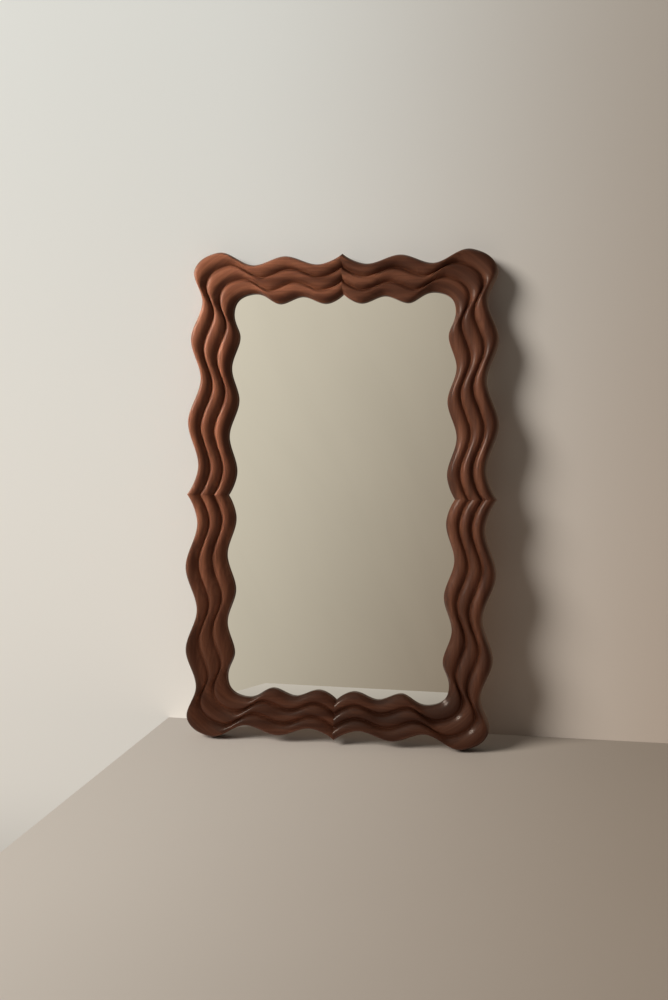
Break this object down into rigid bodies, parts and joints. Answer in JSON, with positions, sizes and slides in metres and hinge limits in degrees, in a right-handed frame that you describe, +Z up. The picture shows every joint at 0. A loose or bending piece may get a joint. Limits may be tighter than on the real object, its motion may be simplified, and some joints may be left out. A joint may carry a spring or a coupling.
{
  "type": "wavy framed wall mirror",
  "caption": "Upright wall mirror in a carved wooden frame of wavy parallel ridges with rounded corner lobes and pointed mid-sides, hung on ring hangers.",
  "frame": {"origin": "on the wall plane that the bumpers touch, behind the middle of the glass", "axes": "+X to the right seen from the room, +Z up along the stiles, +Y towards the wall, so the glass faces -Y"},
  "size_m": [0.6082, 0.0533, 0.9508],
  "materials": {
    "stained_wood": "satin red-brown stain and lacquer",
    "beech": "raw beech",
    "silvered_glass": "silvered float glass",
    "backing_foam": "closed-cell polyethylene foam",
    "glazing_tape": "black foam tape",
    "setting_rubber": "matt rubber",
    "hardboard": "smooth-faced hardboard",
    "zinc_steel": "zinc plated",
    "nickel_steel": "nickel plated",
    "felt": "pressed felt"
  },
  "bodies": {
    "frame": {"frame_quarter_top_left": "stained_wood", "frame_quarter_top_right": "stained_wood", "frame_quarter_bottom_left": "stained_wood", "frame_quarter_bottom_right": "stained_wood", "joint_dowels_left": "beech", "joint_dowels_right": "beech", "joint_dowels_top": "beech", "joint_dowels_bottom": "beech", "mirror_glass": "silvered_glass", "backing_foam": "backing_foam", "glazing_tape_top": "glazing_tape", "glazing_tape_bottom": "glazing_tape", "glazing_tape_left": "glazing_tape", "glazing_tape_right": "glazing_tape", "setting_blocks": "setting_rubber", "back_board": "hardboard", "back_board_screws": "zinc_steel", "hanger_strap_left": "nickel_steel", "hanger_strap_right": "nickel_steel", "hanger_screws_left": "zinc_steel", "hanger_screws_right": "zinc_steel", "wall_bumper_top_left": "felt", "wall_bumper_top_right": "felt", "wall_bumper_bottom_left": "felt", "wall_bumper_bottom_right": "felt"},
    "hanger_ring_left": {"hanger_ring_left": "nickel_steel"},
    "hanger_ring_right": {"hanger_ring_right": "nickel_steel"}
  },
  "joints": [
    {"name": "hanger_ring_left_swing", "type": "hinge", "parent": "frame", "child": "hanger_ring_left", "pos_m": [-0.262, -0.0024, 0.25], "axis": [1, 0, 0], "range_deg": [0, 180]},
    {"name": "hanger_ring_right_swing", "type": "hinge", "parent": "frame", "child": "hanger_ring_right", "pos_m": [0.262, -0.0024, 0.25], "axis": [1, 0, 0], "range_deg": [0, 180]}
  ]
}
